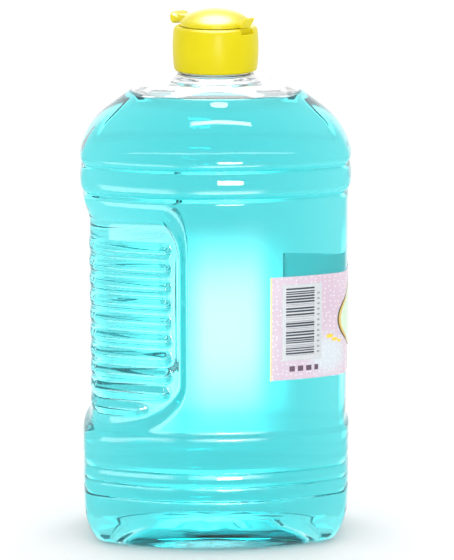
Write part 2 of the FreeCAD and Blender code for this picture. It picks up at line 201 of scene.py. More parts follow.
def wall_t(x, z, grow=0.0):
    """0 on the recess's outer edge, 1 where its floor begins, as seen from the broad side."""
    xr, zt, zb = GRIP_X + grow, GRIP_Z1 + grow, GRIP_Z0 - grow

    def corner(rx, rz, p, ix, iz, q, h, v):
        # h, v: distances past the corner's centre, towards the edge
        rho = np.hypot(h, v) + 1e-9
        ch, cv = np.maximum(h, 0) / rho, np.maximum(v, 0) / rho
        ro = ((ch / rx) ** p + (cv / rz) ** p + 1e-12) ** (-1 / p)
        ri = ((ch / ix) ** q + (cv / iz) ** q + 1e-12) ** (-1 / q)
        return np.where((h > 0) & (v > 0), (ro - rho) / (ro - ri), np.minimum((rx - h) / (rx - ix), (rz - v) / (rz - iz)))

    top = corner(7.0, 13.6, 2.5, 4.7, 7.0, 2.0, x - (xr - 7.0), z - (zt - 13.6))
    low = corner(18.0, LOW_RISE, 1.7, 15.7, LOW_RISE - 5.6, 1.8, x - (xr - 18.0), (zb + LOW_RISE) - z)
    return np.where(z > 55.0, top, low)


def grip(x, z, deep, lift, soft=1.0):
    """Extra depth of the finger recess, ribs taken off. deep: floor depth at each point; lift: 1 on the faces, less at the end."""
    t = wall_t(x, z)
    w = smooth(t) if soft == 1.0 else smooth((t + 0.25) / 1.5)
    d = (deep - PANEL_IN) * w
    rib = np.zeros_like(d)
    for i, xe in enumerate(RIB_ENDS):
        zc = RIB_TOP - i * RIB_PITCH
        rr = np.hypot(np.maximum(x - (xe - RIB_HALF), 0.0), z - zc) / RIB_HALF
        rib = np.maximum(rib, RIB_RISE * np.clip(1 - rr ** 2, 0, 1) ** 1.15)
    return d - rib * lift * soft * smooth((t - 0.75) / 0.5)


def spline_rows(table, m):
    """Catmull-Rom through the table, m rows, spaced by length in the width-height plane."""
    T = np.array(table, float)
    seg = np.hypot(np.diff(T[:, 0]), np.diff(T[:, 1]))
    u = np.concatenate([[0], np.cumsum(seg)])
    out = []
    for q in np.linspace(0, u[-1], m):
        i = min(max(int(np.searchsorted(u, q) - 1), 0), len(T) - 2)
        h = u[i + 1] - u[i]
        t = (q - u[i]) / h
        def slope(j):
            if j == 0:
                return (T[1] - T[0]) / (u[1] - u[0])
            if j == len(T) - 1:
                return (T[-1] - T[-2]) / (u[-1] - u[-2])
            return (T[j + 1] - T[j - 1]) / (u[j + 1] - u[j - 1])
        m0, m1 = slope(i) * h, slope(i + 1) * h
        out.append((2 * t**3 - 3 * t**2 + 1) * T[i] + (t**3 - 2 * t**2 + t) * m0 + (-2 * t**3 + 3 * t**2) * T[i + 1] + (t**3 - t**2) * m1)
    return np.array(out)


def rounded(P, ax, by, w):
    t = np.arctan2(P[:, 1] / HALF_D, P[:, 0] / HALF_W)
    x = (1 - w) * P[:, 0] * ax / HALF_W + w * ax * np.cos(t)
    y = (1 - w) * P[:, 1] * by / HALF_D + w * by * np.sin(t)
    return x, y


def ring(x, y, z):
    return np.stack([x, y, z + 0 * x], 1)


def heights(step_scale=1.0):
    """Row heights of the straight part: close together over the grooves."""
    def step(z):
        near = min(abs(z - g[0]) for g in GROOVES)
        base = 0.28 if 28.3 < z < 31.0 else (0.58 if 26.0 < z < 86.5 else 0.75)
        return min(base, 0.13 + 0.3 * max(near - 0.35, 0.0)) * step_scale if near < 2.2 else base * step_scale
    zs, z = [], 7.6
    while z < 98.2:
        zs.append(z)
        z += step(z)
    return zs


def skin_rows(P, Nn, t_wall, step_scale=1.0, shoulder_rows=28, heel_rows=12, soft=1.0):
    """Rows of the skin lying t_wall inside the outer surface, from the foot to the neck's foot."""
    rows = []
    deep = floor_depth(P, Nn)
    lift = 0.22 + 0.78 * smooth((np.abs(Nn[:, 1]) - 0.05) / 0.7)
    far = smooth((Nn[:, 1] + 0.2) / 0.9)
    hz = spline_rows(HEEL + ((7.6, 0.18, 0.18),), heel_rows + 1)[:-1]
    for z, d, e in hz:
        t = t_wall + 0.35 * (1 - z / 7.6) if t_wall > 0 else 0
        zz = z if t_wall <= 0 else BASE_T * (1 - z / 7.6) * min(1.0, t_wall / WALL) + z
        rows.append(ring(P[:, 0] * (HALF_W - d - t) / HALF_W, P[:, 1] * (HALF_D - e - t) / HALF_D, zz))
    for z in heights(step_scale):
        d = inset(z, soft) * (1 - far) + inset_round(z, soft) * far + grip(P[:, 0], np.full(len(P), z), deep, lift, soft) * (P[:, 0] < GRIP_X + 0.01) + t_wall
        q = P - Nn * d[:, None]
        rows.append(ring(q[:, 0], q[:, 1], z))
    for z, ax, by, w in spline_rows(SHOULDER, shoulder_rows):
        k = float(smooth(np.array((z - 104.0) / 9.0)))
        tw = t_wall * (1 - 0.35 * k)
        x, y = rounded(P, ax - tw, by - t_wall, min(w, 1.0))
        rows.append(ring(x, y, z - 1.03 * t_wall * k))
    return rows


def grid_mesh(rows, pole_low=None, pole_high=None, flip=False):
    n = len(rows[0])
    verts = np.concatenate(rows)
    m = len(rows)
    i = np.arange(n)
    j = (i + 1) % n
    faces = []
    for r in range(m - 1):
        a = r * n
        b = a + n
        faces += [(a + p, a + q, b + q, b + p) for p, q in zip(i.tolist(), j.tolist())]
    extra = []
    if pole_low is not None:
        k = len(verts) + len(extra)
        extra.append(pole_low)
        faces += [(k, q, p) for p, q in zip(i.tolist(), j.tolist())]
    if pole_high is not None:
        k = len(verts) + len(extra)
        extra.append(pole_high)
        a = (m - 1) * n
        faces += [(k, a + p, a + q) for p, q in zip(i.tolist(), j.tolist())]
    if extra:
        verts = np.concatenate([verts, np.array(extra, float)])
    if flip:
        faces = [tuple(reversed(f)) for f in faces]
    return verts, faces


def make(name, verts, faces, mats, body, smooth_shade=True):
    me = bpy.data.meshes.new(name)
    me.from_pydata([tuple(v) for v in (np.asarray(verts) * MM)], [], faces)
    me.validate()
    me.update()
    ob = bpy.data.objects.new(name, me)
    bpy.context.scene.collection.objects.link(ob)
    for m in mats:
        me.materials.append(m)
    if smooth_shade:
        me.polygons.foreach_set("use_smooth", [True] * len(me.polygons))
    if body:
        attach(ob, body)
    return ob


# ------------------------------------------------------------------ materials
def new_mat(name):
    m = bpy.data.materials.new(name)
    m.use_nodes = True
    nt = m.node_tree
    nt.nodes.clear()
    out = nt.nodes.new("ShaderNodeOutputMaterial")
    bs = nt.nodes.new("ShaderNodeBsdfPrincipled")
    nt.links.new(bs.outputs["BSDF"], out.inputs["Surface"])
    return m, nt, bs, out


def node(nt, kind, **props):
    n = nt.nodes.new(kind)
    for k, v in props.items():
        if k in n.inputs:
            n.inputs[k].default_value = v
        else:
            setattr(n, k, v)
    return n


def bump_from(nt, bs, scale, strength, distance, detail=2.0, coords="Object"):
    tc = nt.nodes.new("ShaderNodeTexCoord")
    nz = node(nt, "ShaderNodeTexNoise", Scale=scale, Detail=detail)
    nt.links.new(tc.outputs[coords], nz.inputs["Vector"])
    bp = node(nt, "ShaderNodeBump", Strength=strength, Distance=distance)
    nt.links.new(nz.outputs["Fac"], bp.inputs["Height"])
    nt.links.new(bp.outputs["Normal"], bs.inputs["Normal"])
    return tc, nz, bp


def pet_material(name, ior, rough):
    m, nt, bs, out = new_mat(name)
    bs.inputs["Base Color"].default_value = (1.0, 1.0, 1.0, 1)
    bs.inputs["Transmission Weight"].default_value = 1.0
    bs.inputs["IOR"].default_value = ior
    bs.inputs["Roughness"].default_value = rough
    tc, nz, bp = bump_from(nt, bs, 90.0, 0.12, 0.0006, 1.0)
    return m


def liquid_material(name, ior):
    m, nt, bs, out = new_mat(name)
    nt.nodes.remove(bs)
    bs = nt.nodes.new("ShaderNodeBsdfGlass")
    nt.links.new(bs.outputs["BSDF"], out.inputs["Surface"])
    bs.inputs["Color"].default_value = (1.0, 1.0, 1.0, 1)
    bs.inputs["IOR"].default_value = ior
    bs.inputs["Roughness"].default_value = 0.0
    va = nt.nodes.new("ShaderNodeVolumeAbsorption")
    va.inputs["Color"].default_value = (0.0, 0.850, 0.868, 1)
    va.inputs["Density"].default_value = 71.0
    nt.links.new(va.outputs["Volume"], out.inputs["Volume"])
    tc, nz, bp = bump_from(nt, bs, 60.0, 0.03, 0.0003, 1.0)
    return m


def plastic_material(name, col, rough, sheen_level):
    m, nt, bs, out = new_mat(name)
    tc = nt.nodes.new("ShaderNodeTexCoord")
    big = node(nt, "ShaderNodeTexNoise", Scale=140.0, Detail=3.0)
    nt.links.new(tc.outputs["Object"], big.inputs["Vector"])
    ramp = nt.nodes.new("ShaderNodeValToRGB")
    ramp.color_ramp.elements[0].position = 0.3
    ramp.color_ramp.elements[0].color = (col[0] * 0.95, col[1] * 0.94, col[2] * 0.8, 1)
    ramp.color_ramp.elements[1].position = 0.7
    ramp.color_ramp.elements[1].color = (col[0], col[1], col[2], 1)
    nt.links.new(big.outputs["Fac"], ramp.inputs["Fac"])
    nt.links.new(ramp.outputs["Color"], bs.inputs["Base Color"])
    rr = node(nt, "ShaderNodeMapRange")
    rr.inputs["To Min"].default_value = rough - 0.05
    rr.inputs["To Max"].default_value = rough + 0.06
    nt.links.new(big.outputs["Fac"], rr.inputs["Value"])
    nt.links.new(rr.outputs["Result"], bs.inputs["Roughness"])
    fine = node(nt, "ShaderNodeTexNoise", Scale=2200.0, Detail=2.0)
    nt.links.new(tc.outputs["Object"], fine.inputs["Vector"])
    bp = node(nt, "ShaderNodeBump", Strength=0.12, Distance=0.00005)
    nt.links.new(fine.outputs["Fac"], bp.inputs["Height"])
    nt.links.new(bp.outputs["Normal"], bs.inputs["Normal"])
    bs.inputs["IOR"].default_value = 1.49
    bs.inputs["Specular IOR Level"].default_value = sheen_level
    bs.inputs["Subsurface Weight"].default_value = 0.12
    bs.inputs["Subsurface Radius"].default_value = (1.0, 0.7, 0.2)
    bs.inputs["Subsurface Scale"].default_value = 0.0012
    return m


def label_material(cloud):
    """Pale pink film with a scatter of small white dots and a soft pale cloud beside the oval, from the sheet's own UV in millimetres."""
    m, nt, bs, out = new_mat("label_film")
    uv = nt.nodes.new("ShaderNodeTexCoord")
    vor = node(nt, "ShaderNodeTexVoronoi", Scale=0.82, Randomness=0.62)
    vor.voronoi_dimensions = "2D"
    nt.links.new(uv.outputs["UV"], vor.inputs["Vector"])
    size = node(nt, "ShaderNodeMapRange")
    size.inputs["From Min"].default_value = 0.10
    size.inputs["From Max"].default_value = 0.23
    size.inputs["To Min"].default_value = 0.75
    size.inputs["To Max"].default_value = 0.0
    nt.links.new(vor.outputs["Distance"], size.inputs["Value"])
    soft = node(nt, "ShaderNodeTexNoise", Scale=0.12, Detail=3.0)
    nt.links.new(uv.outputs["UV"], soft.inputs["Vector"])
    base = nt.nodes.new("ShaderNodeValToRGB")
    base.color_ramp.elements[0].position = 0.35
    base.color_ramp.elements[0].color = (0.675, 0.462, 0.570, 1)
    base.color_ramp.elements[1].position = 0.65
    base.color_ramp.elements[1].color = (0.725, 0.522, 0.620, 1)
    nt.links.new(soft.outputs["Fac"], base.inputs["Fac"])
    far = node(nt, "ShaderNodeVectorMath")
    far.operation = "DISTANCE"
    nt.links.new(uv.outputs["UV"], far.inputs[0])
    far.inputs[1].default_value = (cloud[0], cloud[1], 0.0)
    wisp = node(nt, "ShaderNodeMapRange")
    wisp.interpolation_type = "SMOOTHSTEP"
    wisp.inputs["From Min"].default_value = 2.0
    wisp.inputs["From Max"].default_value = 7.0
    wisp.inputs["To Min"].default_value = 0.9
    wisp.inputs["To Max"].default_value = 0.0
    nt.links.new(far.outputs["Value"], wisp.inputs["Value"])
    pale = nt.nodes.new("ShaderNodeMix")
    pale.data_type = "RGBA"
    nt.links.new(wisp.outputs["Result"], pale.inputs["Factor"])
    nt.links.new(base.outputs["Color"], pale.inputs[6])
    pale.inputs[7].default_value = (0.68, 0.71, 0.77, 1)
    mix = nt.nodes.new("ShaderNodeMix")
    mix.data_type = "RGBA"
    nt.links.new(size.outputs["Result"], mix.inputs["Factor"])
    nt.links.new(pale.outputs[2], mix.inputs[6])
    mix.inputs[7].default_value = (0.84, 0.80, 0.84, 1)
    nt.links.new(mix.outputs[2], bs.inputs["Base Color"])
    bs.inputs["Roughness"].default_value = 0.3
    bs.inputs["IOR"].default_value = 1.45
    bs.inputs["Subsurface Weight"].default_value = 0.6
    bs.inputs["Subsurface Radius"].default_value = (1.0, 0.9, 1.0)
    bs.inputs["Subsurface Scale"].default_value = 0.0008
    fine = node(nt, "ShaderNodeTexNoise", Scale=3.0, Detail=2.0)
    nt.links.new(uv.outputs["UV"], fine.inputs["Vector"])
    bp = node(nt, "ShaderNodeBump", Strength=0.08, Distance=0.00003)
    nt.links.new(fine.outputs["Fac"], bp.inputs["Height"])
    nt.links.new(bp.outputs["Normal"], bs.inputs["Normal"])
    return m


def ink_material(name, col, rough=0.35, metal=0.0):
    m, nt, bs, out = new_mat(name)
    tc = nt.nodes.new("ShaderNodeTexCoord")
    nz = node(nt, "ShaderNodeTexNoise", Scale=900.0, Detail=2.0)
    nt.links.new(tc.outputs["Object"], nz.inputs["Vector"])
    ramp = nt.nodes.new("ShaderNodeValToRGB")
    ramp.color_ramp.elements[0].color = (col[0] * 0.9, col[1] * 0.9, col[2] * 0.9, 1)
    ramp.color_ramp.elements[1].color = (min(col[0] * 1.05, 1), min(col[1] * 1.05, 1), min(col[2] * 1.05, 1), 1)
    nt.links.new(nz.outputs["Fac"], ramp.inputs["Fac"])
    nt.links.new(ramp.outputs["Color"], bs.inputs["Base Color"])
    bs.inputs["Roughness"].default_value = rough
    bs.inputs["Metallic"].default_value = metal
    return m


# The liquid's skin lies inside the wall, so light goes straight from plastic to liquid there: the step is
# 1.36 / 1.5, and the wetted inner side, met only within the liquid, bends nothing.
PET, PET_WET = pet_material("clear_pet", 1.5, 0.01), pet_material("clear_pet_wet", 1.0, 0.0)
LIQ_SKIN, LIQ_TOP = liquid_material("turquoise_cologne", 1.36 / 1.5), liquid_material("turquoise_cologne_top", 1.36)
YEL = plastic_material("closure_yellow", (0.68, 0.585, 0.004), 0.30, 0.14)
# The lid, with its ear, takes a lighter copy of the closure's yellow: painted brightness for the light falling on its
# top.
LID_YEL_PAINTED_LIGHT = plastic_material("lid_yellow_painted_light", (0.72, 0.63, 0.008), 0.32, 0.3)

# ------------------------------------------------------------------ bottle: one closed shell, outside, lip and inside
P, Nn = plan_samples(1.0)
N = len(P)
ang = np.arctan2(P[:, 1] / HALF_D, P[:, 0] / HALF_W)
cx, sx = np.cos(ang), np.sin(ang)


def circle(r, z, dz=0.0):
    return np.stack([r * cx, r * sx, z + dz + 0 * cx], 1)


def push_row(f, z, t=0.0):
    """One row of the pushed-up base, with shallow petals round its middle."""
    fl = 0.07 * np.cos(9 * ang) * math.sin(math.pi * min(max((f - 0.06) / 0.42, 0), 1)) if z > 0.05 else 0.0
    return ring(P[:, 0] * (f + t / HALF_W), P[:, 1] * (f * 0.84 + t / HALF_D), z + fl)


outer = skin_rows(P, Nn, 0.0)
PUSH = ((0.05, 5.00), (0.16, 4.92), (0.32, 4.62), (0.47, 4.02), (0.58, 3.12), (0.66, 1.95), (0.705, 0.98), (0.735, 0.28), (0.75, 0.0))
PUSH_FINE = [tuple(r) for r in spline_rows(PUSH, 22)]
foot = [push_row(f, max(z, 0.0)) for f, z in PUSH_FINE]
foot += [ring(P[:, 0] * 0.80, P[:, 1] * 0.68, 0.0)]

# neck: ring under the closure, finish with one turn of thread, lip, bore
neck = [circle(9.12, 114.12), circle(9.0, 114.25), circle(8.9, 114.36), circle(8.4, 114.42), circle(8.02, 114.55)]
for z in np.arange(114.9, 122.45, 0.3):
    th = np.mod(ang, 2 * np.pi)
    h = np.zeros(N)
    for turn in (0, 1):
        zc = 116.2 + 2.3 * (th / (2 * np.pi) + turn)
        on = smooth((th / (2 * np.pi) + turn) / 0.10) * (1 - smooth(((th / (2 * np.pi) + turn) - 1.25) / 0.10))
        h = np.maximum(h, 0.78 * on * smooth(1.35 - np.abs(z - zc) / 0.62))
    r = 7.9 + h
    neck.append(np.stack([r * cx, r * sx, z + 0 * cx], 1))
neck += [circle(7.9, 122.6), circle(7.82, 122.9), circle(7.6, 123.12), circle(7.3, 123.2), circle(6.8, 123.2), circle(6.5, 123.12), circle(6.33, 122.9), circle(6.3, 122.6), circle(6.3, 119.0), circle(6.3, 116.0), circle(6.36, 115.3), circle(6.7, 114.6), circle(7.5, 114.0), circle(8.6, 113.45)]

inner = skin_rows(P, Nn, WALL, step_scale=2.3, shoulder_rows=24, heel_rows=9, soft=0.72)
inner = [r for r in inner if r[:, 2].max() < 113.2 and abs(r[:, 0]).max() > 9.2]
inner_foot = [push_row(f, z + BASE_T, 0.9) for f, z in PUSH_FINE[:-1]]
rows = foot + outer + neck + inner[::-1] + inner_foot[::-1]
v, f = grid_mesh(rows, pole_low=(0, 0, 5.02), pole_high=(0, 0, 5.02 + BASE_T))
print("shell quads", len(f), "rows", len(rows), "around", N)
bottle = make("bottle_shell", v, f, [PET, PET_WET], "bottle_body")
n_out = (len(foot) + len(outer) + len(neck)) * N
for poly in bottle.data.polygons:
    vs_ = poly.vertices
    if min(vs_) >= n_out and v[vs_[0]][2] < FILL_Z:
        poly.material_index = 1
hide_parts("bottle")

# ------------------------------------------------------------------ cologne, its skin lying within the wall, with a meniscus
EXT = 0.16
inl = skin_rows(P, Nn, WALL - EXT, step_scale=2.3, shoulder_rows=26, heel_rows=9, soft=0.72)
liq_rows = [push_row(f, z + BASE_T - EXT, 0.9) for f, z in PUSH_FINE[:-1]]
top = None
for r in inl:
    if r[:, 2].max() < FILL_Z - 0.15:
        liq_rows.append(r)
        last = r
    elif top is None:
        top = r
k = (FILL_Z + 0.35 - last[:, 2].mean()) / (top[:, 2].mean() - last[:, 2].mean())
edge = last + (top - last) * k
liq_rows.append(edge)
for s, dz in ((0.9965, 0.22), (0.99, 0.10), (0.975, 0.03), (0.94, 0.0), (0.85, 0.0), (0.6, 0.0), (0.3, 0.0)):
    q = edge.copy()
    q[:, 0] *= s
    q[:, 1] *= s
    q[:, 2] = FILL_Z + dz
    liq_rows.append(q)
v, f = grid_mesh(liq_rows, pole_low=(0, 0, 5.02 + BASE_T - EXT), pole_high=(0, 0, FILL_Z))
cologne = make("cologne_liquid", v, f, [LIQ_SKIN, LIQ_TOP], "bottle_body")
for poly in cologne.data.polygons:
    if min(v[q][2] for q in poly.vertices) > FILL_Z - 0.01 and abs(poly.normal.z) > 0.5:
        poly.material_index = 1
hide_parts("cologne")

# ------------------------------------------------------------------ label film, wrapped round the labelled end
def label_curve(off, m):
    """Points and normals along the label, from its front edge round the end to its back edge, with length in mm."""
    Q, M = plan_samples(2.0)
    sel = [i for i in range(len(Q)) if Q[i, 0] >= LABEL_X0 - 2]
    Q, M = Q[sel], M[sel]
    order = np.argsort(np.arctan2(Q[:, 1], Q[:, 0] - 4.0))
    Q, M = Q[order], M[order]
    S = Q - M * off
    L = np.concatenate([[0], np.cumsum(np.hypot(*np.diff(S, axis=0).T))])
    mid = len(S) // 2
    l0 = np.interp(LABEL_X0, S[:mid, 0], L[:mid])
    l1 = np.interp(-LABEL_X1, -S[mid:, 0], L[mid:])
    t = np.linspace(l0, l1, m)
    pts = np.stack([np.interp(t, L, S[:, 0]), np.interp(t, L, S[:, 1])], 1)
    nn = np.stack([np.interp(t, L, M[:, 0]), np.interp(t, L, M[:, 1])], 1)
    nn /= np.linalg.norm(nn, axis=1)[:, None]
    return t - l0, pts, nn


U, LP, LN = label_curve(PANEL_IN - 0.03, 150)
ULEN = U[-1]
print("label length", ULEN)


def on_label(u, zz, h):
    x = np.interp(u, U, LP[:, 0]) + np.interp(u, U, LN[:, 0]) * h
    y = np.interp(u, U, LP[:, 1]) + np.interp(u, U, LN[:, 1]) * h
    return np.array([x, y, zz])


INNER_AT = []                      # where each sheet's inner side begins in its list of faces


def sheet_mesh(us, zs, h_in, h_out):
    """A closed thin sheet over us x zs."""
    verts, faces, uvs = [], [], []
    nu, nz = len(us), len(zs)
    for h in (h_out, h_in):
        for z in zs:
            for u in us:
                verts.append(on_label(u, z, h))
                uvs.append((u, z))
    o = nu * nz
    for j in range(nz - 1):
        for i in range(nu - 1):
            a = j * nu + i
            faces.append((a, a + 1, a + nu + 1, a + nu))
    INNER_AT.append(len(faces))
    for j in range(nz - 1):
        for i in range(nu - 1):
            a = j * nu + i
            faces.append((o + a, o + a + nu, o + a + nu + 1, o + a + 1))
    for i in range(nu - 1):
        faces.append((i, o + i, o + i + 1, i + 1))
        a = (nz - 1) * nu + i
        faces.append((a, a + 1, o + a + 1, o + a))
    for j in range(nz - 1):
        a = j * nu
        faces.append((a, a + nu, o + a + nu, o + a))
        b = a + nu - 1
        faces.append((b, o + b, o + b + nu, b + nu))
    return verts, faces, uvs


us = np.concatenate([[0, 0.08], np.linspace(0.4, ULEN - 0.4, 130), [ULEN - 0.08, ULEN]])
zs = np.concatenate([[LABEL_Z0, LABEL_Z0 + 0.08], np.linspace(LABEL_Z0 + 0.8, LABEL_Z1 - 0.8, 24), [LABEL_Z1 - 0.08, LABEL_Z1]])
v, f, uvs = sheet_mesh(us, zs, 0.0, 0.14)
U_MID = float(np.interp(0.0, LP[:, 1], U))
U_OVAL = float(np.interp(28.7, LP[:len(LP) // 2, 0], U[:len(U) // 2]))
LAB = label_material((U_OVAL - 2.5, 48.5))
# The film's inner side, seen only through the cologne, is painted teal-white: a painted tint that stands for the light
# reaching it through the liquid, not the film's own colour.
LABEL_BACK_PAINTED_TINT = ink_material("label_back_painted_tint", (0.45, 0.99, 0.95), 0.4)
bk = [q for q in LABEL_BACK_PAINTED_TINT.node_tree.nodes if q.type == "BSDF_PRINCIPLED"][0]
bk.inputs["Subsurface Weight"].default_value = 1.0
bk.inputs["Subsurface Radius"].default_value = (1.0, 1.0, 1.0)
bk.inputs["Subsurface Scale"].default_value = 0.0008
label = make("label_film", v, f, [LAB, LABEL_BACK_PAINTED_TINT], "bottle_body")
n_inner = (len(us) - 1) * (len(zs) - 1)
for k in range(INNER_AT[-1], INNER_AT[-1] + n_inner):
    label.data.polygons[k].material_index = 1
uvl = label.data.uv_layers.new(name="UVMap")
for lp in label.data.loops:
    uvl.data[lp.index].uv = uvs[lp.vertex_index]
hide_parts("label")

# printing on the film: a gold edge, a white panel with plain bars, a gold-rimmed oval with a rosette, small marks
def u_of(x):
    return float(np.interp(x, LP[:len(LP) // 2, 0], U[:len(U) // 2]))


def strips(name, boxes, mat, h0, h1, step=1.0):
    """Thin closed strips lying on the film: (u0, u1, z0, z1) each."""
    vv, ff = [], []
    for u0, u1, z0, z1 in boxes:
        nu = max(2, int(math.ceil((u1 - u0) / step)) + 1)
        a, b, _ = sheet_mesh(np.linspace(u0, u1, nu), [z0, z1], h0, h1)
        ff += [tuple(q + len(vv) for q in t) for t in b]
        vv += list(a)
    return make(name, vv, ff, [mat], "bottle_body", smooth_shade=False)


def ellipse_patch(name, uc, zc, a, b, mat, h0, h1, hole=0.0, m=96):
    """A thin closed disc or rim lying on the film."""
    th = np.linspace(0, 2 * np.pi, m, endpoint=False)
    def loop(k, h):
        return np.array([on_label(uc + (a - k) * math.cos(t), zc + (b - k) * math.sin(t), h) for t in th])
    if hole > 0:
        rows = [loop(0, h0), loop(0, h1), loop(hole / 2, h1), loop(hole, h1), loop(hole, h0), loop(hole / 2, h0)]
        vv = np.concatenate(rows)
        ff = []
        for r in range(6):
            for i in range(m):
                j = (i + 1) % m
                ff.append((r * m + i, r * m + j, ((r + 1) % 6) * m + j, ((r + 1) % 6) * m + i))
    else:
        def frac(q, h):
            return np.array([on_label(uc + a * q * math.cos(t), zc + b * q * math.sin(t), h) for t in th])
        qs = np.linspace(0, 1, max(5, int(a / 0.5)) + 1)[1:]
        rows = [frac(q, h0) for q in qs] + [frac(q, h1) for q in qs[::-1]]
        vv, ff = grid_mesh(rows, pole_low=on_label(uc, zc, h0), pole_high=on_label(uc, zc, h1))
    ob = make(name, vv, ff, [mat], "bottle_body", smooth_shade=False)
    bm = bmesh.new()
    bm.from_mesh(ob.data)
    bmesh.ops.recalc_face_normals(bm, faces=bm.faces)
    bm.to_mesh(ob.data)
    bm.free()
    return ob


WHITE = ink_material("print_white", (0.555, 0.58, 0.605), 0.35)
BLACK = ink_material("print_black", (0.018, 0.03, 0.045), 0.35)
GREY = ink_material("print_grey", (0.30, 0.31, 0.34), 0.35)
PLUM = ink_material("print_plum", (0.10, 0.05, 0.09), 0.35)
GOLD = ink_material("print_gold", (0.72, 0.50, 0.14), 0.3, 0.35)
OLIVE = ink_material("print_olive", (0.10, 0.085, 0.03), 0.35)
LEAF = ink_material("print_pale_green", (0.60, 0.76, 0.60), 0.35)
SUN = ink_material("print_yellow", (0.90, 0.60, 0.05), 0.35)

strips("label_edge_line", [(0.0, 0.28, LABEL_Z0, LABEL_Z1), (ULEN - 0.28, ULEN, LABEL_Z0, LABEL_Z1)], GOLD, 0.141, 0.155)
strips("label_white_panel", [(u_of(15.4), u_of(24.9), 47.7, 66.2)], WHITE, 0.141, 0.152)
rng = np.random.default_rng(11)
dark, light, zb_ = [], [], 48.9
while zb_ < 65.0:
    w_ = float(rng.choice([0.14, 0.2, 0.3, 0.42]))
    g_ = float(rng.choice([0.18, 0.26, 0.38]))
    (dark if w_ > 0.25 else light).append((u_of(16.3), u_of(23.1), zb_, zb_ + w_))
    zb_ += w_ + g_
strips("label_bars_wide", dark, BLACK, 0.153, 0.162)
strips("label_bars_fine", light, GREY, 0.153, 0.162)
ticks = [(u_of(23.75), u_of(24.35), 49.2 + 1.3 * i, 49.2 + 1.3 * i + 0.5) for i in range(12)]
strips("label_ticks", ticks, GREY, 0.153, 0.162, 0.5)
strips("label_marks", [(u_of(17.2 + 2.0 * i), u_of(17.2 + 2.0 * i + q), 45.0, 46.3) for i, q in enumerate((1.3, 1.3, 1.3, 0.9))], PLUM, 0.141, 0.155, 0.5)
HALF_OVAL = U_MID - U_OVAL
ellipse_patch("label_oval", U_MID, 56.8, HALF_OVAL - 0.4, 8.6, LEAF, 0.120, 0.166, m=180)
ellipse_patch("label_oval_rim", U_MID, 56.8, HALF_OVAL, 9.0, OLIVE, 0.120, 0.176, hole=0.45, m=220)
ellipse_patch("label_oval_line", U_MID, 56.8, HALF_OVAL - 0.4, 8.6, GOLD, 0.120, 0.180, hole=0.55, m=220)
for i in range(8):
    t_ = 2 * math.pi * i / 8 + 0.2
    ellipse_patch("label_petal_%d" % i, U_MID + 4.6 * math.cos(t_), 56.8 + 3.9 * math.sin(t_), 1.5, 1.1, SUN if i % 2 else WHITE, 0.15, 0.178, m=28)
ellipse_patch("label_petal_heart", U_MID, 56.8, 1.7, 1.5, GOLD, 0.15, 0.178, m=36)
for i, (xq, zq, aq, bq) in enumerate(((26.9, 52.9, 0.95, 0.5), (28.1, 52.0, 0.8, 0.42), (29.2, 51.5, 0.6, 0.3))):
    ellipse_patch("label_fleck_%d" % i, u_of(xq), zq, aq, bq, SUN, 0.141, 0.152, m=24)

# ------------------------------------------------------------------ closure and lid: the CAD pieces with finished plastic
for nm, mt in (("closure", YEL), ("flip_lid", LID_YEL_PAINTED_LIGHT)):
    ob = frame["nodes"][nm]
    for s in ob.material_slots:
        s.material = mt

# a fuller thumb ear over the lid's tab, flaring outwards and upwards
EAR_AZ = math.radians(139.0)
er, ew, eb, et = (np.array(q) for q in zip((7.6, 1.9, 125.7, 126.6), (8.8, 2.1, 125.5, 126.8), (9.8, 2.5, 125.4, 127.0), (10.7, 2.9, 125.0, 127.4),
                                           (11.3, 3.2, 124.9, 127.8), (11.7, 3.0, 125.3, 127.9), (11.8, 2.5, 126.0, 127.6)))
v, f = [], []
EN = 20
for r_, w_, b_, t_ in zip(er, ew, eb, et):
    for k in range(EN):
        a_ = 2 * math.pi * k / EN
        ca, sa = math.cos(a_), math.sin(a_)
        y_ = w_ * math.copysign(abs(ca) ** 0.6, ca)
        z_ = (b_ + t_) / 2 + (t_ - b_) / 2 * math.copysign(abs(sa) ** 0.6, sa) + 0.10 * (y_ / w_) ** 2 * (r_ - 7.6) / 4
        v.append((r_ * math.cos(EAR_AZ) - y_ * math.sin(EAR_AZ), r_ * math.sin(EAR_AZ) + y_ * math.cos(EAR_AZ), z_))
for r_ in range(len(er) - 1):
    for k in range(EN):
        q = (k + 1) % EN
        f.append((r_ * EN + k, r_ * EN + q, (r_ + 1) * EN + q, (r_ + 1) * EN + k))
for row, out in ((0, False), (len(er) - 1, True)):
    c_ = len(v)
    v.append(tuple(np.mean(v[row * EN:(row + 1) * EN], axis=0)))
    f += [(c_, row * EN + k, row * EN + (k + 1) % EN) if out else (c_, row * EN + (k + 1) % EN, row * EN + k) for k in range(EN)]
ear = make("lid_ear", v, f, [LID_YEL_PAINTED_LIGHT], "lid_body")
bm = bmesh.new()
bm.from_mesh(ear.data)
bmesh.ops.recalc_face_normals(bm, faces=bm.faces)
bm.to_mesh(ear.data)
bm.free()

